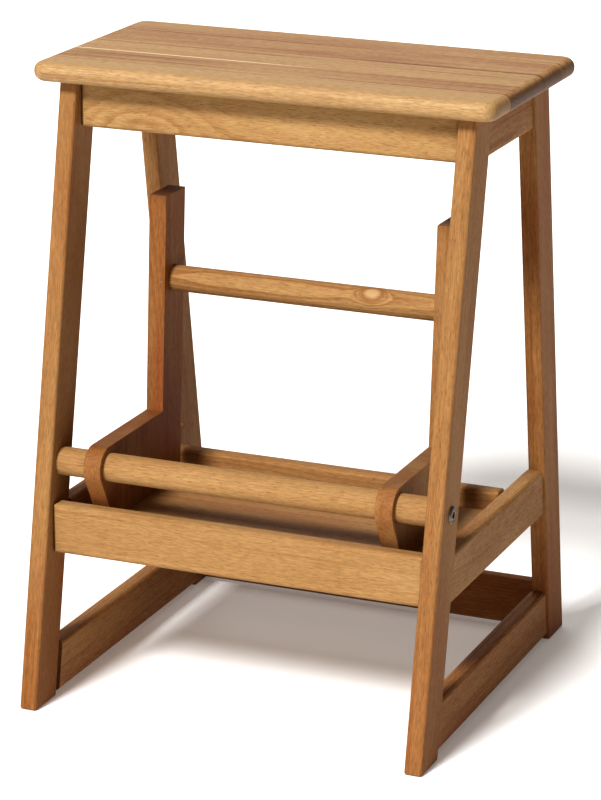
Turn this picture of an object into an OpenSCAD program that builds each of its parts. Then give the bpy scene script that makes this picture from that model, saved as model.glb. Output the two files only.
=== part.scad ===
/* [Overall] */
// Height of the top of the seat above the floor
stool_h = 620; // [600:1:640]
// Width over the outer faces of the legs
leg_span = 418; // [400:1:440]
// Depth over the feet, front to back
foot_span = 428; // [420:1:440]
// Lean of the front and rear legs from upright, in degrees
leg_lean = 10.3; // [9.8:0.1:10.6]

/* [Seat] */
// Length of the seat, left to right
seat_l = 464; // [450:1:480]
// Depth of the seat, front to back
seat_d = 248; // [244:1:256]
// Thickness of the seat
seat_t = 18.5; // [18:0.5:22]
// Radius of the rounded edges of the seat
seat_edge = 7.5; // [4:0.5:8.5]
// Radius of the seat's corners in plan
seat_corner = 12; // [8:1:20]
// Joint between the first and second staves, from the middle of the seat
seat_joint_1 = -78; // [-84:1:-72]
// Joint between the second and third staves
seat_joint_2 = -37; // [-40:1:-34]
// Joint between the third and fourth staves
seat_joint_3 = 18; // [10:1:24]
// Joint between the fourth and fifth staves
seat_joint_4 = 71; // [66:1:76]

/* [Boards] */
// Thickness of legs, rails and brackets
board_t = 18; // [17:0.5:19]
// Width of a leg across its face
leg_w = 45; // [43:1:47]
// Radius of the legs' long edges
leg_edge = 3; // [2:0.5:4]
// Height of the four aprons under the seat
apron_h = 45; // [42:1:46]
// Height of the rails and stretchers
rail_h = 50; // [46:1:50]
// Radius of the edges of aprons, rails and stretchers
rail_edge = 4.5; // [3:0.5:5]
// How far side boards sit back from the legs' outer faces
side_recess = 2.5; // [1:0.5:3]

/* [Levels] */
// Underside of the front rail
front_rail_z = 150.5; // [149:0.5:152]
// Underside of the side rails and the cross rail
side_rail_z = 144.5; // [142:0.5:146]
// Underside of the low stretchers
stretcher_z = 5; // [4:1:8]

/* [Folding step] */
// Height of the pivot above the floor
pivot_z = 238; // [237:0.5:240]
// Diameter of the pivot dowel
pivot_d = 28; // [27:0.5:28]
// Gap all round between the pivot dowel and a bracket's bore
pivot_gap = 0.05; // [0.02:0.01:0.1]
// Radius of a bracket's end around the pivot
bracket_end = 20.5; // [20:0.5:22]
// Width of a bracket's upright
upright_w = 45; // [44:1:46]
// Distance between the brackets' inner faces
bracket_span = 281; // [270:1:290]
// Diameter of the handle dowel
handle_d = 26; // [24:1:28]
// Height of the handle dowel, step stowed
handle_z = 389; // [370:1:400]
// Length of the tread, left to right
tread_l = 366; // [350:1:370]
// Thickness of the tread
tread_t = 18; // [16:0.5:18]
// Height of the tread's upper side, step stowed
tread_top = 180; // [178:0.5:181]

/* [Hidden] */
$fn = 48;

// Frame
seat_under = stool_h - seat_t;
half_span = leg_span / 2;
leg_in = half_span - board_t;
foot_y = foot_span / 2;
lean_slope = tan(leg_lean);
leg_depth = leg_w / cos(leg_lean);
stave_ys = [-seat_d / 2, seat_joint_1, seat_joint_2, seat_joint_3, seat_joint_4, seat_d / 2];
apron_z = seat_under - apron_h;
apron_y = 88;
front_rail_y = -161.7;
rear_stretcher_y = 192.5;
cross_rail_y = 61;
side_x = half_span - side_recess - board_t / 2;
side_in = side_x - board_t / 2;

// Wooden pins that join the boards
pin_d = 8;
pin_gap = 0.02;
pin_end_gap = 0.5;
pin_inset = 13;
pin_in_leg = 11;
pin_in_rail = 19;
pin_side_half = 15;
seat_pin_up = 11;
seat_pin_down = 19;
seat_pin_x = 120;
seat_pin_ys = [-28, 28];

// Joints of the boards that run left to right: half length, y, underside, height
x_boards = [[leg_in, -apron_y, apron_z, apron_h], [leg_in, apron_y, apron_z, apron_h],
    [leg_in, front_rail_y, front_rail_z, rail_h], [leg_in, rear_stretcher_y, stretcher_z, rail_h],
    [side_in, cross_rail_y, side_rail_z, rail_h]];
// Boards that run front to back: underside, height
y_boards = [[apron_z, apron_h], [side_rail_z, rail_h], [stretcher_z, rail_h]];
BOTH = [-1, 1];

// Folding step
pivot_y = -(foot_y - leg_depth / 2 - pivot_z * lean_slope);
bracket_in = bracket_span / 2;
front_slant = 30;
upright_slope = 0.05;
tip_gap = 0.6;
upright_top = 2 * pivot_z - tip_gap;
arm_top = pivot_z + bracket_end;
corner_y = -24;
upright_d = upright_w * sqrt(1 + upright_slope * upright_slope);
top_run = (upright_top - arm_top) * upright_slope;
low_run = (arm_top - tread_top) * upright_slope;
slant_y = pivot_y - bracket_end * cos(front_slant)
    + (pivot_z - bracket_end * sin(front_slant) - tread_top) * tan(front_slant);
handle_y = corner_y + (handle_z - arm_top) * upright_slope + upright_d / 2;
handle_depth = 12;
handle_gap = 0.05;
tread_front = -152.3;
tread_rear = 40;
tread_boards = 3;
tread_board_w = (tread_rear - tread_front) / tread_boards;
tread_edge = 4.5;
tread_pin_up = 18;
tread_pin_down = 11;
tread_pin_ys = [-120, -56, 5];

// Metal parts
bolt_d = 6;
bolt_gap = 0.05;
bolt_head_d = 17;
bolt_head_t = 2.4;
bolt_l = 42;
bolt_socket = 6;
bolt_socket_depth = 1.6;
insert_d = 10;
insert_l = 22;
insert_gap = 0.02;
bolt_end_gap = 2;
brad_d = 1.8;
brad_head_d = 3.2;
brad_head_t = 0.9;
brad_l = 24;
brad_inset = 4.5;
brad_gap = 0.02;
brad_end_gap = 0.3;
brad_head_out = 0.1;
hex_sides = 6;
end_facets = 96;
over = 1;

// Distance from the middle to the legs' inner edges at height z
function leg_inner_y(z) = foot_y - leg_depth - z * lean_slope;

// Rectangle with rounded corners, centred
module rounded_rect(a, b, r) {
    square([a - 2 * r, b], center = true);
    square([a, b - 2 * r], center = true);
    for (sx = BOTH, sy = BOTH)
        translate([sx * (a / 2 - r), sy * (b / 2 - r)])
            circle(r);
}

// Board of size [x, y, z], centred, with every edge rounded to r
module rounded_board(size, r) {
    intersection() {
        linear_extrude(size[2], center = true)
            rounded_rect(size[0], size[1], r);
        rotate([90, 0, 0])
            linear_extrude(size[1], center = true)
                rounded_rect(size[0], size[2], r);
        rotate([90, 0, 90])
            linear_extrude(size[0], center = true)
                rounded_rect(size[1], size[2], r);
    }
}

// Cylinder along +X or -X
module x_rod(d, l, dir = 1) {
    rotate([0, 90 * dir, 0])
        cylinder(d = d, h = l);
}

// Pins between a left-to-right board and what it ends on
module x_pins(b, sides, d, grow = 0) {
    for (sx = sides, z = [b[2] + pin_inset, b[2] + b[3] - pin_inset])
        translate([sx * (b[0] - pin_in_rail - grow), b[1], z])
            x_rod(d, pin_in_rail + pin_in_leg + 2 * grow, sx);
}

// Pins between a front-to-back board and the legs
module y_pins(b, sx, ends, d, grow = 0) {
    for (sy = ends, z = [b[0] + pin_inset, b[0] + b[1] - pin_inset])
        translate([sx * side_x, sy * leg_inner_y(z), z])
            rotate([90, 0, 0])
                cylinder(d = d, h = 2 * (pin_side_half + grow), center = true);
}

// Pins between the aprons and the seat
module seat_pins(d, grow = 0) {
    spots = concat([for (sx = BOTH, sy = BOTH) [sx * seat_pin_x, sy * apron_y]],
        [for (sx = BOTH, y = seat_pin_ys) [sx * side_x, y]]);
    for (p = spots)
        translate([p[0], p[1], seat_under - seat_pin_down - grow])
            cylinder(d = d, h = seat_pin_down + seat_pin_up + 2 * grow);
}

// One stave of the seat, counted from the front
module seat_stave(i) {
    difference() {
        intersection() {
            translate([0, 0, seat_under + seat_t / 2])
                seat_blank();
            translate([-seat_l, stave_ys[i - 1], 0])
                cube([2 * seat_l, stave_ys[i] - stave_ys[i - 1], 2 * stool_h]);
        }
        seat_pins(pin_d + 2 * pin_gap, pin_end_gap);
    }
}

// The whole seat before it is split into staves
module seat_blank() {
    intersection() {
        linear_extrude(seat_t, center = true)
            rounded_rect(seat_l, seat_d, seat_corner);
        rotate([90, 0, 0])
            linear_extrude(seat_d, center = true)
                rounded_rect(seat_l, seat_t, seat_edge);
        rotate([90, 0, 90])
            linear_extrude(seat_l, center = true)
                rounded_rect(seat_d, seat_t, seat_edge);
    }
}

// Front leg on the right, cut level at the floor and under the seat
module leg_blank() {
    intersection() {
        translate([half_span - board_t / 2, -foot_y, 0])
            rotate([-leg_lean, 0, 0])
                translate([0, leg_w / 2, -leg_w])
                    linear_extrude(stool_h + 2 * leg_w)
                        rounded_rect(board_t, leg_w, leg_edge);
        translate([0, -stool_h, 0])
            cube([stool_h, stool_h, seat_under]);
    }
}

// Leg on side sx (-1 left, 1 right) and end sy (-1 front, 1 rear)
module leg(sx, sy) {
    d = pin_d + 2 * pin_gap;
    difference() {
        scale_flip(sx, -sy)
            leg_blank();
        for (b = x_boards)
            if (b[0] == leg_in && b[1] * sy > 0)
                x_pins(b, [sx], d, pin_end_gap);
        for (b = y_boards)
            y_pins(b, sx, [sy], d, pin_end_gap);
        if (sy < 0)
            translate([sx * (leg_in - over), pivot_y, pivot_z])
                x_rod(bolt_d + 2 * bolt_gap, board_t + 2 * over, sx);
    }
}

// Mirrors its children across the middle where a sign is -1
module scale_flip(sx, sy) {
    mirror([sx < 0 ? 1 : 0, 0, 0])
        mirror([0, sy < 0 ? 1 : 0, 0])
            children();
}

// Left-to-right board with its pin holes
module x_board(b) {
    difference() {
        translate([0, b[1], b[2] + b[3] / 2])
            rounded_board([2 * b[0], board_t, b[3]], rail_edge);
        x_pins(b, BOTH, pin_d + 2 * pin_gap, pin_end_gap);
    }
}

// Apron with holes in its top for the seat's pins
module x_apron(b) {
    difference() {
        x_board(b);
        seat_pins(pin_d + 2 * pin_gap, pin_end_gap);
    }
}

// Front-to-back board, its ends cut to the lean of the legs
module y_board(b, sx) {
    z0 = b[0];
    z1 = b[0] + b[1];
    difference() {
        intersection() {
            translate([sx * side_x, 0, (z0 + z1) / 2])
                rotate([90, 0, 0])
                    linear_extrude(foot_span, center = true)
                        rounded_rect(board_t, b[1], rail_edge);
            translate([sx * side_x, 0, 0])
                rotate([90, 0, 90])
                    linear_extrude(2 * board_t, center = true)
                        polygon([[-leg_inner_y(z0), z0], [leg_inner_y(z0), z0],
                            [leg_inner_y(z1), z1], [-leg_inner_y(z1), z1]]);
        }
        y_pins(b, sx, BOTH, pin_d + 2 * pin_gap, pin_end_gap);
    }
}

// Side apron with holes in its top for the seat's pins
module y_apron(sx) {
    difference() {
        y_board(y_boards[0], sx);
        seat_pins(pin_d + 2 * pin_gap, pin_end_gap);
    }
}

// Side rail with holes for the pins of the cross rail
module side_rail(sx) {
    difference() {
        y_board(y_boards[1], sx);
        x_pins(x_boards[4], [sx], pin_d + 2 * pin_gap, pin_end_gap);
    }
}

// Pivot dowel between the front legs, bored at both ends for the inserts
module pivot() {
    difference() {
        translate([-leg_in, pivot_y, pivot_z])
            x_rod(pivot_d, 2 * leg_in);
        for (sx = BOTH)
            translate([sx * leg_in, pivot_y, pivot_z]) {
                translate([-sx * (insert_l + insert_gap), 0, 0])
                    x_rod(insert_d + 2 * insert_gap, insert_l + over, sx);
                translate([-sx * (insert_l + bolt_end_gap + bolt_d), 0, 0])
                    x_rod(bolt_d + 2 * bolt_gap, insert_l, sx);
            }
    }
}

// Flat-headed bolt with a hexagon socket, through each front leg
module pivot_bolt(sx) {
    translate([sx * half_span, pivot_y, pivot_z])
        difference() {
            union() {
                x_rod(bolt_head_d, bolt_head_t, sx);
                translate([-sx * bolt_l, 0, 0])
                    x_rod(bolt_d, bolt_l, sx);
            }
            translate([sx * (bolt_head_t - bolt_socket_depth), 0, 0])
                rotate([0, 90 * sx, 0])
                    cylinder(d = bolt_socket / cos(180 / hex_sides), h = bolt_head_t, $fn = hex_sides);
        }
}

// Threaded insert in each end of the pivot dowel
module pivot_insert(sx) {
    translate([sx * (leg_in - insert_l), pivot_y, pivot_z])
        difference() {
            x_rod(insert_d, insert_l, sx);
            translate([-sx * over, 0, 0])
                x_rod(bolt_d + 2 * bolt_gap, insert_l + 2 * over, sx);
        }
}

// Outline of a bracket seen from the side, step stowed
module bracket_outline() {
    translate([pivot_y, pivot_z])
        circle(bracket_end, $fn = end_facets);
    polygon([
        [pivot_y - bracket_end * cos(front_slant), pivot_z - bracket_end * sin(front_slant)],
        [slant_y, tread_top],
        [corner_y + upright_d - low_run, tread_top],
        [corner_y + upright_d + top_run, upright_top],
        [corner_y + top_run, upright_top],
        [corner_y, arm_top],
        [pivot_y, arm_top]]);
}

// Bracket on side sx: arm, upright and the bore for the pivot dowel
module bracket(sx) {
    difference() {
        translate([sx > 0 ? bracket_in : -bracket_in - board_t, 0, 0])
            rotate([90, 0, 90])
                linear_extrude(board_t)
                    bracket_outline();
        translate([-half_span, pivot_y, pivot_z])
            x_rod(pivot_d + 2 * pivot_gap, leg_span);
        translate([-bracket_in - handle_depth, handle_y, handle_z])
            x_rod(handle_d + 2 * handle_gap, bracket_span + 2 * handle_depth);
        handle_brad(sx, brad_d + 2 * brad_gap, brad_head_d + 2 * brad_gap, brad_end_gap);
        step_pins(sx, pin_d + 2 * pin_gap, pin_end_gap);
    }
}

// Pins between the tread and a bracket
module step_pins(sx, d, grow = 0) {
    for (y = tread_pin_ys)
        translate([sx * (bracket_in + board_t / 2), y, tread_top - tread_pin_down - grow])
            cylinder(d = d, h = tread_pin_up + tread_pin_down + 2 * grow);
}

// Brad that locks the handle dowel, driven in from the upright's front edge
module handle_brad(sx, d, head_d, grow = 0) {
    front_y = handle_y - upright_d / 2;
    translate([sx * (bracket_in + brad_inset), front_y - brad_head_out - grow, handle_z])
        rotate([-90, 0, 0]) {
            cylinder(d = head_d, h = brad_head_t + grow);
            cylinder(d = d, h = brad_l + 2 * grow);
        }
}

// Handle dowel between the uprights
module handle() {
    difference() {
        translate([-bracket_in - handle_depth + pin_gap, handle_y, handle_z])
            x_rod(handle_d, bracket_span + 2 * (handle_depth - pin_gap));
        for (sx = BOTH)
            handle_brad(sx, brad_d + 2 * brad_gap, brad_head_d, brad_end_gap);
    }
}

// One board of the tread, counted from the front of the stowed step
module tread_board(i) {
    difference() {
        intersection() {
            translate([0, (tread_front + tread_rear) / 2, tread_top - tread_t / 2])
                rounded_board([tread_l, tread_rear - tread_front, tread_t], tread_edge);
            translate([-tread_l, tread_front + (i - 1) * tread_board_w, 0])
                cube([2 * tread_l, tread_board_w, stool_h]);
        }
        for (sx = BOTH)
            step_pins(sx, pin_d + 2 * pin_gap, pin_end_gap);
    }
}

// Pins of every left-to-right board
module cross_pins() {
    for (b = x_boards)
        x_pins(b, BOTH, pin_d);
}

// Pins of every front-to-back board
module side_pins() {
    for (b = y_boards, sx = BOTH)
        y_pins(b, sx, BOTH, pin_d);
}

// Both bolts of the pivot
module pivot_bolts() {
    for (sx = BOTH)
        pivot_bolt(sx);
}

// Both inserts of the pivot
module pivot_inserts() {
    for (sx = BOTH)
        pivot_insert(sx);
}

// Both brads of the handle
module handle_brads() {
    for (sx = BOTH)
        handle_brad(sx, brad_d, brad_head_d);
}

// Pins between the tread and both brackets
module tread_pins() {
    for (sx = BOTH)
        step_pins(sx, pin_d);
}

// Wood and metal colours
LIGHT = "#cf9f63";
WARM = "#c08a4e";
RED = "#b27a48";
STEEL = "#b9bcc0";
BRASS = "#b8964a";
BEECH = "#d9bb8c";

color(LIGHT) seat_stave(1);  // seat_stave_1
color(WARM) seat_stave(2);  // seat_stave_2
color(LIGHT) seat_stave(3);  // seat_stave_3
color(RED) seat_stave(4);  // seat_stave_4
color(WARM) seat_stave(5);  // seat_stave_5
color(WARM) leg(-1, -1);  // leg_front_left
color(WARM) leg(1, -1);  // leg_front_right
color(RED) leg(-1, 1);  // leg_rear_left
color(RED) leg(1, 1);  // leg_rear_right
color(LIGHT) x_apron(x_boards[0]);  // apron_front
color(WARM) x_apron(x_boards[1]);  // apron_rear
color(WARM) y_apron(-1);  // apron_left
color(WARM) y_apron(1);  // apron_right
color(LIGHT) x_board(x_boards[2]);  // rail_front
color(LIGHT) x_board(x_boards[4]);  // rail_cross
color(RED) side_rail(-1);  // rail_left
color(RED) side_rail(1);  // rail_right
color(RED) y_board(y_boards[2], -1);  // stretcher_left
color(RED) y_board(y_boards[2], 1);  // stretcher_right
color(WARM) x_board(x_boards[3]);  // stretcher_rear
color(BEECH) cross_pins();  // pins_cross
color(BEECH) side_pins();  // pins_side
color(BEECH) seat_pins(pin_d);  // pins_seat
color(LIGHT) pivot();  // pivot_dowel
color(STEEL) pivot_bolts();
color(BRASS) pivot_inserts();
color(WARM) bracket(-1);  // bracket_left
color(WARM) bracket(1);  // bracket_right
color(LIGHT) tread_board(1);  // tread_board_1
color(WARM) tread_board(2);  // tread_board_2
color(LIGHT) tread_board(3);  // tread_board_3
color(LIGHT) handle();  // handle_dowel
color(STEEL) handle_brads();
color(BEECH) tread_pins();  // pins_tread
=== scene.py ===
import math

import bmesh
import bpy
from mathutils import Euler, Matrix, Vector


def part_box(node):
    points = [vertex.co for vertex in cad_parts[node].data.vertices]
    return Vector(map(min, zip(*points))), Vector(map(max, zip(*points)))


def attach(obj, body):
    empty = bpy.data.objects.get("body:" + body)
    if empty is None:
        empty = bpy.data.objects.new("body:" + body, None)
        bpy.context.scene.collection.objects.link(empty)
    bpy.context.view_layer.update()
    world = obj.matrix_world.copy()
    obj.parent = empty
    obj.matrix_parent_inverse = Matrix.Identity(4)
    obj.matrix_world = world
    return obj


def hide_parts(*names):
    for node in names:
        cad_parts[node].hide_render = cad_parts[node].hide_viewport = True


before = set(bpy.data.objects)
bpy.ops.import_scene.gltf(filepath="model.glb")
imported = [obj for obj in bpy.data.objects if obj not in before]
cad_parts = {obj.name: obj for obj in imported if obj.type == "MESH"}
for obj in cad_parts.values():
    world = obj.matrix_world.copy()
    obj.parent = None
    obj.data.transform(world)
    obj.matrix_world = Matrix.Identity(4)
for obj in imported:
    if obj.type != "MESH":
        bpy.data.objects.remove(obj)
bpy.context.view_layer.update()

# Camera: metres, degrees and millimetres of lens
CAMERA_PLACE = (1.1364, -2.7958, 1.2154)
CAMERA_AZIMUTH = 22.153
CAMERA_ELEVATION = 18.628
CAMERA_ROLL = 0.5
CAMERA_LENS = 144.56
CAMERA_SENSOR = 36
CAMERA_SHIFT_Y = 0.1

# Light: a soft sun from the front and a little left, wide lamps overhead and behind, and a faint warm
# world. The floor glows faintly, which keeps its shadow light.
KEY_FROM = (-0.45, -2.15, 2.02)
KEY_STRENGTH = 4.0
KEY_SPREAD = math.radians(14)
TOP_PLACE = (-0.3, 0.4, 3.0)
TOP_TARGET = (0.0, 0.0, 0.3)
TOP_SIZE = 2.2
TOP_POWER = 15
BACK_PLACE = (-1.3, 3.0, 1.3)
BACK_SIZE = 2.2
BACK_POWER = 13
WORLD_COLOUR = (1, 0.86, 0.74, 1)
WORLD_STRENGTH = 0.15
FLOOR_SIZE = 400
FLOOR_COLOUR = (0.93, 0.925, 0.915, 1)
FLOOR_GLOW = 0.13

# Wood colours, linear
PALE = (0.410, 0.250, 0.103)
DEEP = (0.215, 0.080, 0.019)
RED = (0.225, 0.060, 0.018)
PORE = (0.070, 0.024, 0.009)
END = (0.105, 0.042, 0.015)
KNOT = (0.50, 0.33, 0.17)
BEECH_PALE = (0.72, 0.50, 0.29)
BEECH_DEEP = (0.60, 0.36, 0.18)
BOLT_STEEL = (0.23, 0.185, 0.15)
BRAD_STEEL = (0.34, 0.28, 0.20)
BRASS = (0.62, 0.42, 0.16)

# Wood's finish: specular level, and contrast of the fleck
SEAT_GLOSS = 0.40
WOOD_GLOSS = 0.10
SEAT_FLECK = 1.15
WOOD_FLECK = 0.95

# Figure of the wood: noise scales per metre, along the grain and twice across it
RIPPLE_SCALE = (9, 55, 55)
FIBRE_SCALE = (110, 1000, 1000)
PORE_SCALE = (150, 1450, 1450)
STREAK_SCALE = (2.4, 210, 210)
CLOUD_SCALE = (4.5, 26, 26)
BLUSH_SCALE = (5, 30, 30)
RIPPLE_HEIGHT = 0.0035
RING_GAP = 0.0030
RING_GAP_SPREAD = 0.0008
PITH_AWAY = 0.042
PITH_AWAY_SPREAD = 0.018
LINE_NEAR = 0.0014
LINE_FAR = 0.0028

# Rounding, metres
SEAT_EDGE = 0.0088
SEAT_CORNER = 0.016
CORNER_STEPS = 12
EDGE_STEPS = 20
LEG_END_EDGE = 0.0032
BRACKET_EDGE = 0.0016
JOINT_GROOVE = 0.0005
NEAR = 0.0002
SHARP = math.radians(30)
SMOOTH = math.radians(35)

# Outline of a pivot bolt from its tip to the socket's floor: hexagon or not, size as a part of the
# head's radius, and depth behind the head's face in metres
BOLT_PROFILE = (
    (False, 0.35, 0.0440), (False, 0.35, 0.0024), (False, 0.97, 0.0024), (False, 1.0, 0.0021),
    (False, 1.0, 0.0018), (False, 0.88, 0.0003), (False, 0.84, 0.0), (False, 0.79, 0.0),
    (False, 0.76, 0.0007), (False, 0.70, 0.0007), (False, 0.66, 0.0), (True, 0.40, 0.0),
    (True, 0.38, 0.0002), (True, 0.38, 0.0018), (True, 0.02, 0.0019),
)
BOLT_STEPS = 48

# Directions of the grain, as turns that lay it along X
LEG_LEAN = math.radians(10.3)
ALONG_X = (0, 0, 0)
ALONG_Y = (0, 0, -math.pi / 2)
ALONG_Z = (0, math.pi / 2, 0)
FRONT_LEG = (LEG_LEAN, math.pi / 2, 0)
REAR_LEG = (-LEG_LEAN, math.pi / 2, 0)

# Boards: grain, depth of tone, redness, strength of rings, of dark streaks, swing of the pith, seed
BOARDS = {
    "seat_stave_1": (ALONG_X, -0.13, 0.08, 0.30, 0.40, 0.010, 1.3),
    "seat_stave_2": (ALONG_X, 0.10, 0.42, 0.40, 1.0, 0.006, 2.9),
    "seat_stave_3": (ALONG_X, -0.08, 0.22, 0.40, 1.0, 0.008, 4.1),
    "seat_stave_4": (ALONG_X, 0.12, 0.48, 0.40, 1.2, 0.006, 5.7),
    "seat_stave_5": (ALONG_X, 0.08, 0.36, 0.45, 1.1, 0.006, 6.2),
    "leg_front_left": (FRONT_LEG, 0.50, 0.25, 0.20, 0.15, 0.008, 7.4),
    "leg_front_right": (FRONT_LEG, 0.50, 0.30, 0.20, 0.15, 0.008, 8.8),
    "leg_rear_left": (REAR_LEG, 0.36, 0.60, 0.20, 0.20, 0.010, 9.5),
    "leg_rear_right": (REAR_LEG, 0.60, 0.50, 0.20, 0.20, 0.010, 10.6),
    "apron_front": (ALONG_X, 0.08, 0.12, 0.40, 0.12, 0.008, 11.9),
    "apron_rear": (ALONG_X, 0.32, 0.25, 0.25, 0.20, 0.020, 12.7),
    "apron_left": (ALONG_Y, 0.50, 0.30, 0.25, 0.20, 0.012, 13.2),
    "apron_right": (ALONG_Y, 0.55, 0.30, 0.25, 0.20, 0.012, 14.8),
    "rail_front": (ALONG_X, 0.26, 0.08, 0.22, 0.20, 0.010, 15.1),
    "rail_cross": (ALONG_X, 0.44, 0.25, 0.25, 0.30, 0.014, 16.4),
    "rail_left": (ALONG_Y, 0.60, 0.35, 0.25, 0.20, 0.012, 17.6),
    "rail_right": (ALONG_Y, 0.52, 0.25, 0.25, 0.20, 0.012, 18.3),
    "stretcher_left": (ALONG_Y, 0.58, 0.35, 0.25, 0.20, 0.012, 19.9),
    "stretcher_right": (ALONG_Y, 0.68, 0.50, 0.30, 0.25, 0.020, 20.5),
    "stretcher_rear": (ALONG_X, 0.75, 0.45, 0.25, 0.20, 0.012, 21.7),
    "pivot_dowel": (ALONG_X, 0.22, 0.10, 0.20, 0.10, 0.012, 22.4),
    "handle_dowel": (ALONG_X, 0.32, 0.10, 0.50, 0.10, 0.012, 23.8),
    "bracket_left": (ALONG_Z, 0.72, 0.75, 0.20, 0.25, 0.012, 24.6),
    "bracket_right": (ALONG_Z, 0.58, 0.38, 0.20, 0.25, 0.012, 25.3),
    "tread_board_1": (ALONG_X, 0.22, 0.50, 0.25, 0.30, 0.010, 26.9),
    "tread_board_2": (ALONG_X, 0.30, 0.55, 0.25, 0.30, 0.010, 27.2),
    "tread_board_3": (ALONG_X, 0.24, 0.50, 0.25, 0.30, 0.010, 28.5),
}
# Where the pith lies round a board, in radians from the grain space's second axis
HEART_SIDE = {"apron_front": 0.1, "seat_stave_2": 1.4, "seat_stave_4": 1.7, "stretcher_right": 1.6}
# Places where the rings bulge, as at a knot: place, radius, squeeze along X, lift of the rings, all in
# metres but the squeeze, and how far the pale heart shows
KNOTS = {
    "handle_dowel": ((0.0723, -0.0035, 0.399), 0.009, 0.70, 0.014, 0.75),
    "apron_front": ((-0.125, -0.097, 0.568), 0.024, 0.36, 0.013, 0.0),
}
# Thin pale or dark line painted along a stave's front edge: colour, and where along X it fades out
EDGE_LINES = {
    "seat_stave_2": ((0.20, 0.075, 0.03), 0.02, 0.06),
    "seat_stave_3": ((0.80, 0.60, 0.38), 0.06, -0.06),
    "seat_stave_4": ((0.09, 0.034, 0.013), 0.02, 0.09),
    "seat_stave_5": ((0.14, 0.050, 0.020), 0.10, -0.10),
}
# End grain: how far a face turns from the board's side before it shows, and is full, and its depth
END_GRAIN = (0.45, 0.90, 0.72)
END_GRAIN_OF = {
    "seat_stave_1": (0.45, 0.90, 0.25),
    "seat_stave_2": (0.45, 0.90, 0.88),
    "seat_stave_3": (0.45, 0.90, 0.88),
    "seat_stave_4": (0.45, 0.90, 0.88),
    "bracket_left": (0.90, 0.98, 0.22),
    "bracket_right": (0.90, 0.98, 0.22),
}
# Painted shade: the legs darken towards the floor, as less light reaches their feet: height where it
# starts, and by how much
FOOT_SHADE_START = 0.30
FOOT_SHADE_DEPTH = 0.32
PINS = {
    "pins_cross": ALONG_X,
    "pins_side": ALONG_Y,
    "pins_seat": ALONG_Z,
    "pins_tread": ALONG_Z,
}


class Graph:
    """Short ways to add and join the nodes of a shader tree."""

    def __init__(self, tree):
        self.tree = tree

    def add(self, kind, settings=None, **inputs):
        node = self.tree.nodes.new(kind)
        for key, value in (settings or {}).items():
            setattr(node, key, value)
        for key, value in inputs.items():
            self.feed(node.inputs[key.replace("_", " ")], value)
        return node

    def feed(self, socket, value):
        if isinstance(value, bpy.types.NodeSocket):
            self.tree.links.new(value, socket)
        else:
            socket.default_value = value

    def math(self, operation, a, b=0.0, clamp=False):
        node = self.add("ShaderNodeMath", {"operation": operation, "use_clamp": clamp})
        self.feed(node.inputs[0], a)
        self.feed(node.inputs[1], b)
        return node.outputs[0]

    def vector(self, operation, a, b):
        node = self.add("ShaderNodeVectorMath", {"operation": operation})
        self.feed(node.inputs[0], a)
        self.feed(node.inputs[1], b)
        return node.outputs["Value" if operation in ("LENGTH", "DISTANCE") else "Vector"]

    def noise(self, place, scale, detail=2.0):
        stretched = self.vector("MULTIPLY", place, scale)
        node = self.add("ShaderNodeTexNoise", Vector=stretched, Scale=1.0, Detail=detail)
        return node.outputs["Fac"]

    def ramp(self, value, low, high):
        node = self.add("ShaderNodeMapRange", {"interpolation_type": "SMOOTHSTEP"})
        self.feed(node.inputs["Value"], value)
        node.inputs["From Min"].default_value = min(low, high)
        node.inputs["From Max"].default_value = max(low, high)
        result = node.outputs["Result"]
        return result if low < high else self.math("SUBTRACT", 1.0, result)

    def mix(self, factor, a, b, blend="MIX"):
        node = self.add("ShaderNodeMix", {"data_type": "RGBA", "blend_type": blend})
        self.feed(node.inputs["Factor"], factor)
        self.feed(node.inputs[6], a if isinstance(a, bpy.types.NodeSocket) else (*a, 1))
        self.feed(node.inputs[7], b if isinstance(b, bpy.types.NodeSocket) else (*b, 1))
        return node.outputs[2]


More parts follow.
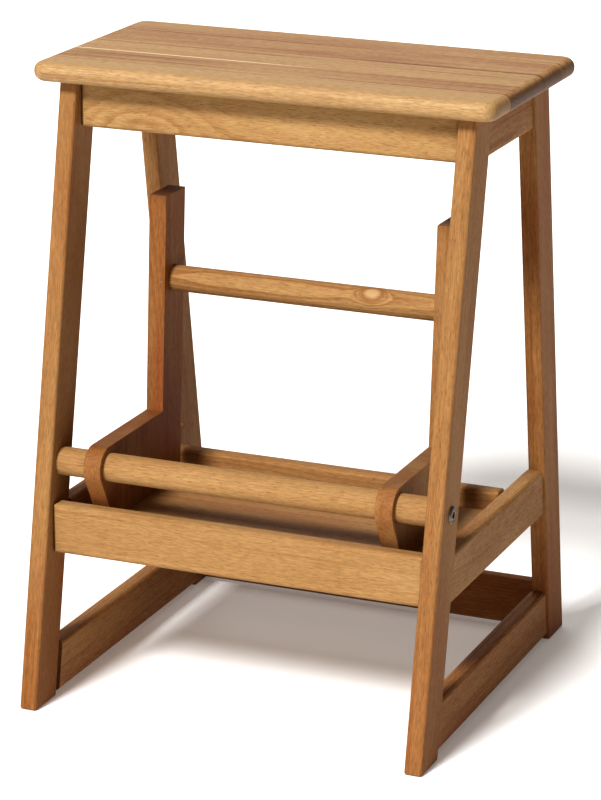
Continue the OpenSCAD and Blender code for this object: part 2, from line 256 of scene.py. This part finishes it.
def make_figure_group():
    """Growth rings, fibres, pores and cloudy patches of wood whose grain runs along X."""
    tree = bpy.data.node_groups.new("wood_figure", "ShaderNodeTree")
    for name, kind in (("Place", "Vector"), ("Seed", "Float"), ("Pith", "Vector"),
                       ("Gap", "Float"), ("Swing", "Float"), ("Lift", "Float")):
        tree.interface.new_socket(name, in_out="INPUT", socket_type="NodeSocket" + kind)
    for name in ("Rings", "Fibre", "Pores", "Streaks", "Clouds", "Blush"):
        tree.interface.new_socket(name, in_out="OUTPUT", socket_type="NodeSocketFloat")
    g = Graph(tree)
    given = g.add("NodeGroupInput").outputs
    seed = given["Seed"]
    moved = g.vector("ADD", given["Place"], g.add(
        "ShaderNodeCombineXYZ", X=g.math("MULTIPLY", seed, 1.7),
        Y=g.math("MULTIPLY", seed, 0.31), Z=g.math("MULTIPLY", seed, 0.73)).outputs[0])

    # The pith wanders a little along the board, which draws the tall arches
    along = g.add("ShaderNodeSeparateXYZ", Vector=given["Place"]).outputs[0]
    wander = g.add("ShaderNodeTexNoise", {"noise_dimensions": "1D"},
                   W=g.math("ADD", g.math("MULTIPLY", along, 4.0), seed), Scale=1.0, Detail=1.0)
    spread = g.add("ShaderNodeCombineXYZ", Y=given["Swing"], Z=given["Swing"]).outputs[0]
    swing = g.vector("MULTIPLY", wander.outputs["Color"], spread)
    ripple = g.math("MULTIPLY", g.noise(moved, RIPPLE_SCALE, 3.0), RIPPLE_HEIGHT)
    across = g.vector("MULTIPLY", g.vector("SUBTRACT", given["Place"], given["Pith"]), (0, 1, 1))
    radius = g.vector("LENGTH", g.vector("ADD", across, swing), (0, 0, 0))
    radius = g.math("ADD", g.math("ADD", radius, ripple), given["Lift"])
    phase = g.math("DIVIDE", radius, given["Gap"])
    turn = g.math("FRACT", phase)
    line = g.math("MULTIPLY", g.ramp(turn, 0.25, 0.86), g.ramp(turn, 1.0, 0.90))
    each = g.add("ShaderNodeTexWhiteNoise", {"noise_dimensions": "1D"},
                 W=g.math("ADD", g.math("FLOOR", phase), seed)).outputs["Value"]
    rings = g.math("MULTIPLY", line, g.math("ADD", g.math("MULTIPLY", each, 0.75), 0.25))

    fibre = g.noise(moved, FIBRE_SCALE, 4.0)
    pores = g.ramp(g.noise(moved, PORE_SCALE, 1.0), 0.58, 0.72)
    streaks = g.ramp(g.noise(moved, STREAK_SCALE, 2.0), 0.57, 0.71)
    clouds = g.noise(moved, CLOUD_SCALE, 2.0)
    elsewhere = g.vector("ADD", moved, (5.0, 3.0, 1.0))
    blush = g.ramp(g.noise(elsewhere, BLUSH_SCALE, 2.0), 0.46, 0.68)
    out = g.add("NodeGroupOutput")
    for name, value in (("Rings", rings), ("Fibre", fibre), ("Pores", pores), ("Streaks", streaks),
                        ("Clouds", clouds), ("Blush", blush)):
        g.feed(out.inputs[name], value)
    return tree


def new_material(name):
    material = bpy.data.materials.new(name)
    material.use_nodes = True
    graph = Graph(material.node_tree)
    return material, graph, material.node_tree.nodes["Principled BSDF"]


def knot_parts(g, place_socket, node):
    """How far the rings rise round a knot, and where its pale heart and dark rim show."""
    if node not in KNOTS:
        return 0.0, 0.0, 0.0
    place, size, squeeze, rise, paleness = KNOTS[node]
    away = g.vector("MULTIPLY", g.vector("SUBTRACT", place_socket, place), (squeeze, 1, 1))
    away = g.math("DIVIDE", g.vector("LENGTH", away, (0, 0, 0)), size)
    fall = g.math("EXPONENT", g.math("MULTIPLY", g.math("MULTIPLY", away, away), -1.0))
    lift = g.math("MULTIPLY", fall, rise)
    heart = g.math("MULTIPLY", g.ramp(away, 0.80, 0.35), paleness)
    rim = g.math("MULTIPLY", g.ramp(away, 0.40, 0.80), g.ramp(away, 1.30, 0.85))
    return lift, heart, g.math("MULTIPLY", rim, paleness)


def board_figure(g, turned, node, grain, seed, swing, lift):
    """The wood figure of one board, its rings centred on a pith just outside the board."""
    low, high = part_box(node)
    middle = Euler(grain).to_matrix() @ ((Vector(low) + Vector(high)) / 2)
    around = HEART_SIDE.get(node, seed * 2.1)
    away = PITH_AWAY + PITH_AWAY_SPREAD * math.sin(seed * 3.3)
    pith = middle + away * Vector((0, math.cos(around), math.sin(around)))
    gap = RING_GAP + RING_GAP_SPREAD * math.sin(seed * 5.0)
    return g.add("ShaderNodeGroup", {"node_tree": FIGURE}, Place=turned, Seed=seed, Pith=pith,
                 Gap=gap, Swing=swing, Lift=lift).outputs


def with_side_line(g, colour, place_socket, node):
    """Adds the thin pale or dark line along a stave's front edge."""
    if node not in EDGE_LINES:
        return colour
    line, out_x, in_x = EDGE_LINES[node]
    place = g.add("ShaderNodeSeparateXYZ", Vector=place_socket).outputs
    behind_edge = g.math("SUBTRACT", place[1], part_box(node)[0][1])
    near = g.math("SUBTRACT", 1.0, g.ramp(behind_edge, LINE_NEAR, LINE_FAR))
    near = g.math("MULTIPLY", near, g.ramp(place[0], out_x, in_x))
    return g.mix(g.math("MULTIPLY", near, 0.85), colour, line)


def make_wood(node, grain, tone, redness, rings, streaks, swing, seed, pale=PALE, deep=DEEP):
    """Oiled wood for one board."""
    material, g, shader = new_material(node + "_wood")
    coords = g.add("ShaderNodeTexCoord").outputs
    turned = g.add("ShaderNodeMapping", Vector=coords["Object"], Rotation=grain).outputs[0]
    facing = g.add("ShaderNodeMapping", {"vector_type": "VECTOR"},
                   Vector=coords["Normal"], Rotation=grain).outputs[0]
    lean = g.add("ShaderNodeSeparateXYZ", Vector=facing).outputs[0]
    lift, heart, rim = knot_parts(g, coords["Object"], node)
    figure = board_figure(g, turned, node, grain, seed, swing, lift)

    lines = g.math("ADD", g.math("MULTIPLY", figure["Rings"], rings),
                   g.math("MULTIPLY", figure["Streaks"], streaks))
    depth = g.math("ADD", lines, g.math("MULTIPLY", g.math("SUBTRACT", figure["Clouds"], 0.5), 0.8))
    # Painted shade: a leg's colour darkens towards the floor
    if node.startswith("leg"):
        height = g.add("ShaderNodeSeparateXYZ", Vector=coords["Object"]).outputs[2]
        depth = g.math("ADD", depth, g.math("MULTIPLY", g.ramp(height, FOOT_SHADE_START, 0.0), FOOT_SHADE_DEPTH))
    colour = g.mix(g.math("ADD", depth, tone, clamp=True), pale, deep)
    blush = g.math("ADD", g.math("MULTIPLY", figure["Blush"], 0.6), 0.25)
    colour = g.mix(g.math("MULTIPLY", blush, redness), colour, RED)
    fleck = SEAT_FLECK if node.startswith("seat") else WOOD_FLECK
    shade = g.math("ADD", g.math("MULTIPLY", figure["Fibre"], fleck), 1.0 - fleck / 2)
    grey = g.add("ShaderNodeCombineColor", Red=shade, Green=shade, Blue=shade).outputs[0]
    colour = g.mix(1.0, colour, grey, "MULTIPLY")
    colour = g.mix(g.math("MULTIPLY", figure["Pores"], 0.34), colour, PORE)
    colour = with_side_line(g, colour, coords["Object"], node)

    end_from, end_full, end_depth = END_GRAIN_OF.get(node, END_GRAIN)
    end = g.ramp(g.math("ABSOLUTE", lean), end_from, end_full)
    mottle = g.math("ADD", g.math("MULTIPLY", figure["Rings"], 0.4),
                    g.math("MULTIPLY", figure["Fibre"], 1.2))
    end = g.math("MULTIPLY", end, g.math("ADD", mottle, end_depth - 0.6, clamp=True))
    colour = g.mix(end, colour, END)
    colour = g.mix(g.math("MULTIPLY", rim, 0.7), colour, DEEP)
    g.feed(shader.inputs["Base Color"], g.mix(heart, colour, KNOT))

    rough = g.math("ADD", g.math("MULTIPLY", figure["Fibre"], -0.16), 0.66)
    g.feed(shader.inputs["Roughness"], g.math("ADD", rough, g.math("MULTIPLY", figure["Pores"], 0.2)))
    gloss = SEAT_GLOSS if node.startswith("seat") else WOOD_GLOSS
    shader.inputs["Specular IOR Level"].default_value = gloss
    relief = g.math("SUBTRACT", g.math("MULTIPLY", figure["Fibre"], 0.6), figure["Pores"])
    bump = g.add("ShaderNodeBump", Strength=0.35, Distance=0.0004, Height=relief)
    g.feed(shader.inputs["Normal"], bump.outputs[0])
    return material


def make_metal(name, colour, roughness):
    """Brushed metal with faint round scratches and darker spots."""
    material, g, shader = new_material(name)
    place = g.add("ShaderNodeTexCoord").outputs["Object"]
    brushed = g.noise(place, (90, 2600, 2600), 3.0)
    spots = g.noise(place, (420, 420, 420), 3.0)
    dark = tuple(c * 0.55 for c in colour)
    g.feed(shader.inputs["Base Color"], g.mix(g.ramp(spots, 0.35, 0.75), colour, dark))
    g.feed(shader.inputs["Roughness"], g.math("ADD", g.math("MULTIPLY", brushed, 0.22), roughness))
    shader.inputs["Metallic"].default_value = 1.0
    bump = g.add("ShaderNodeBump", Strength=0.2, Distance=0.0001, Height=brushed)
    g.feed(shader.inputs["Normal"], bump.outputs[0])
    return material


def set_material(piece, material):
    piece.data.materials.clear()
    piece.data.materials.append(material)


def node_shape(node):
    """A node's mesh as a clean bmesh, its flat faces in one piece each."""
    bm = bmesh.new()
    bm.from_mesh(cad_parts[node].data)
    bmesh.ops.remove_doubles(bm, verts=bm.verts, dist=1e-6)
    bmesh.ops.dissolve_limit(bm, angle_limit=math.radians(0.5), verts=bm.verts, edges=bm.edges)
    return bm


def rounded_outline(half_x, half_y, radius):
    """Points of a rectangle with rounded corners, anticlockwise."""
    points = []
    for quarter, (sx, sy) in enumerate(((1, 1), (-1, 1), (-1, -1), (1, -1))):
        for i in range(CORNER_STEPS + 1):
            angle = math.pi / 2 * (quarter + i / CORNER_STEPS)
            points.append((sx * (half_x - radius) + radius * math.cos(angle),
                           sy * (half_y - radius) + radius * math.sin(angle)))
    return points


def seat_shape(front, rear):
    """The seat's round-edged slab between two joints."""
    low = Vector(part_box("seat_stave_1")[0])
    high = Vector(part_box("seat_stave_5")[1])
    half = (high - low) / 2
    straight = half.z - SEAT_EDGE
    bm = bmesh.new()
    rows = []
    for i in range(EDGE_STEPS + 1):
        angle = math.pi * (i / EDGE_STEPS - 0.5)
        inset = SEAT_EDGE * (1 - math.cos(angle))
        z = low.z + half.z + SEAT_EDGE * math.sin(angle) + math.copysign(straight, angle)
        outline = rounded_outline(half.x - inset, half.y - inset, SEAT_CORNER - inset)
        rows.append([bm.verts.new((x, y, z)) for x, y in outline])
    for lower, upper in zip(rows, rows[1:]):
        for j in range(len(lower)):
            k = (j + 1) % len(lower)
            bm.faces.new((lower[j], lower[k], upper[k], upper[j]))
    bm.faces.new(reversed(rows[0]))
    bm.faces.new(rows[-1])
    for y, side in ((front, -1), (rear, 1)):
        if low.y < y - NEAR and y + NEAR < high.y:
            everything = list(bm.verts) + list(bm.edges) + list(bm.faces)
            cut = bmesh.ops.bisect_plane(bm, geom=everything, plane_co=(0, y, 0),
                                         plane_no=(0, side, 0), clear_outer=True)
            edges = [e for e in cut["geom_cut"] if isinstance(e, bmesh.types.BMEdge)]
            bmesh.ops.holes_fill(bm, edges=edges)
    return bm


def new_piece(node, bm):
    """A new piece from bm, shaded smooth, named after the node."""
    bmesh.ops.recalc_face_normals(bm, faces=bm.faces)
    mesh = bpy.data.meshes.new(node + "_rounded")
    bm.to_mesh(mesh)
    bm.free()
    for name in ("custom_normal", "sharp_face", "sharp_edge"):
        if name in mesh.attributes:
            mesh.attributes.remove(mesh.attributes[name])
    mesh.shade_smooth()
    mesh.set_sharp_from_angle(angle=SMOOTH)
    piece = bpy.data.objects.new(node + "_rounded", mesh)
    bpy.context.scene.collection.objects.link(piece)
    piece.modifiers.new("even_shading", "WEIGHTED_NORMAL").keep_sharp = True
    return piece


def lies_at(edge, axis, places):
    """Whether both ends of an edge are at one of the places along an axis."""
    return all(any(abs(v.co[axis] - at) < NEAR for at in places) for v in edge.verts)


def edge_rounded(node, bm, width, axis, groups):
    """A new piece from bm, with the sharp edges rounded that keep to one group of places on an axis."""
    sharp = [e for e in bm.edges if len(e.link_faces) == 2 and e.calc_face_angle() > SHARP
             and any(lies_at(e, axis, places) for places in groups)]
    bmesh.ops.bevel(bm, geom=sharp, offset=width, offset_type="OFFSET", segments=3, profile=0.5,
                    affect="EDGES", clamp_overlap=True)
    return new_piece(node, bm)


def hexagon(apothem, angle):
    """Distance from the middle to a hexagon's side at an angle."""
    return apothem / math.cos(angle % (math.pi / 3) - math.pi / 6)


def bolt_shape():
    """Both pivot bolts: turned head with a ring groove, and a hexagon socket."""
    low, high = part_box("pivot_bolts")
    middle_y = (low[1] + high[1]) / 2
    middle_z = (low[2] + high[2]) / 2
    radius = (high[1] - low[1]) / 2
    bm = bmesh.new()
    for side in (-1, 1):
        rows = []
        for is_hexagon, size, back in BOLT_PROFILE:
            row = []
            x = side * (high[0] - back)
            for i in range(BOLT_STEPS):
                angle = math.tau * i / BOLT_STEPS
                reach = size * radius * (hexagon(1.0, angle) if is_hexagon else 1.0)
                y = middle_y + reach * math.cos(angle)
                z = middle_z + reach * math.sin(angle)
                row.append(bm.verts.new((x, y, z)))
            rows.append(row)
        for outer, inner in zip(rows, rows[1:]):
            for j in range(BOLT_STEPS):
                k = (j + 1) % BOLT_STEPS
                bm.faces.new((outer[j], outer[k], inner[k], inner[j]))
        bm.faces.new(rows[0])
        bm.faces.new(rows[-1])
    return bm


def make_camera():
    data = bpy.data.cameras.new("camera")
    data.lens = CAMERA_LENS
    data.sensor_width = CAMERA_SENSOR
    data.shift_y = CAMERA_SHIFT_Y
    camera = bpy.data.objects.new("camera", data)
    bpy.context.scene.collection.objects.link(camera)
    turn = (
        Matrix.Rotation(math.radians(CAMERA_AZIMUTH), 4, "Z")
        @ Matrix.Rotation(math.radians(90 - CAMERA_ELEVATION), 4, "X")
        @ Matrix.Rotation(math.radians(CAMERA_ROLL), 4, "Z")
    )
    camera.matrix_world = Matrix.Translation(CAMERA_PLACE) @ turn
    bpy.context.scene.camera = camera


def add_light(name, kind, place, target, strength):
    data = bpy.data.lights.new(name, kind)
    data.energy = strength
    light = bpy.data.objects.new(name, data)
    light.location = place
    light.rotation_euler = (Vector(target) - Vector(place)).to_track_quat("-Z", "Y").to_euler()
    bpy.context.scene.collection.objects.link(light)
    return data


def make_stage():
    bpy.ops.mesh.primitive_plane_add(size=FLOOR_SIZE)
    floor = bpy.context.object
    floor.name = "floor"
    material, _, shader = new_material("floor")
    shader.inputs["Base Color"].default_value = FLOOR_COLOUR
    shader.inputs["Roughness"].default_value = 0.9
    shader.inputs["Specular IOR Level"].default_value = 0.1
    shader.inputs["Emission Color"].default_value = FLOOR_COLOUR
    shader.inputs["Emission Strength"].default_value = FLOOR_GLOW
    set_material(floor, material)
    key = add_light("key", "SUN", KEY_FROM, (0, 0, 0), KEY_STRENGTH)
    key.angle = KEY_SPREAD
    top = add_light("top", "AREA", TOP_PLACE, TOP_TARGET, TOP_POWER)
    back = add_light("back", "AREA", BACK_PLACE, TOP_TARGET, BACK_POWER)
    for lamp, size in ((top, TOP_SIZE), (back, BACK_SIZE)):
        lamp.shape = "DISK"
        lamp.size = size
    world = bpy.data.worlds.new("studio")
    world.use_nodes = True
    background = world.node_tree.nodes["Background"]
    background.inputs["Color"].default_value = WORLD_COLOUR
    background.inputs["Strength"].default_value = WORLD_STRENGTH
    bpy.context.scene.world = world
    bpy.context.scene.view_settings.view_transform = "Standard"
    bpy.context.scene.view_settings.look = "Medium High Contrast"


def finish_wood():
    for node, look in BOARDS.items():
        material = make_wood(node, *look)
        set_material(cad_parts[node], material)
    for index, (node, grain) in enumerate(PINS.items()):
        material = make_wood(node, grain, 0.3, 0.0, 0.2, 0.1, 0.01, 30.5 + index,
                             pale=BEECH_PALE, deep=BEECH_DEEP)
        set_material(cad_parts[node], material)


def replace_with(piece, node, body):
    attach(piece, body)
    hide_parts(node)


def replace_board(piece, node, body):
    set_material(piece, bpy.data.materials[node + "_wood"])
    replace_with(piece, node, body)


def open_joints(nodes, body, slot):
    """Glued boards get a hairline groove where they meet."""
    for index, node in enumerate(nodes):
        low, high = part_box(node)
        joints = []
        if index > 0:
            joints.append((low[1],))
        if index < len(nodes) - 1:
            joints.append((high[1],))
        bm = seat_shape(low[1], high[1]) if slot == "seat_wood" else node_shape(node)
        replace_board(edge_rounded(node, bm, JOINT_GROOVE, 1, joints), node, body)


def round_legs():
    """Both ends of each leg lose their sharp edges."""
    low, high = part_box("leg_front_left")
    for node in ("leg_front_left", "leg_front_right", "leg_rear_left", "leg_rear_right"):
        leg = edge_rounded(node, node_shape(node), LEG_END_EDGE, 2, [(low[2], high[2])])
        replace_board(leg, node, "frame")


def round_brackets():
    """Each bracket's outline and the corners across its thickness lose their sharp edges."""
    for node in ("bracket_left", "bracket_right"):
        low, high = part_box(node)
        bracket = edge_rounded(node, node_shape(node), BRACKET_EDGE, 0, [(low[0], high[0])])
        replace_board(bracket, node, "step")


def finish_metal():
    bolts = new_piece("pivot_bolts", bolt_shape())
    set_material(bolts, make_metal("bolt_steel_look", BOLT_STEEL, 0.38))
    replace_with(bolts, "pivot_bolts", "frame")
    set_material(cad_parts["handle_brads"], make_metal("brad_steel_look", BRAD_STEEL, 0.40))
    set_material(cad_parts["pivot_inserts"], make_metal("insert_brass_look", BRASS, 0.32))


FIGURE = make_figure_group()
make_camera()
make_stage()
finish_wood()
round_legs()
round_brackets()
open_joints(["seat_stave_%d" % i for i in range(1, 6)], "frame", "seat_wood")
open_joints(["tread_board_%d" % i for i in range(1, 4)], "step", "tread_wood")
finish_metal()
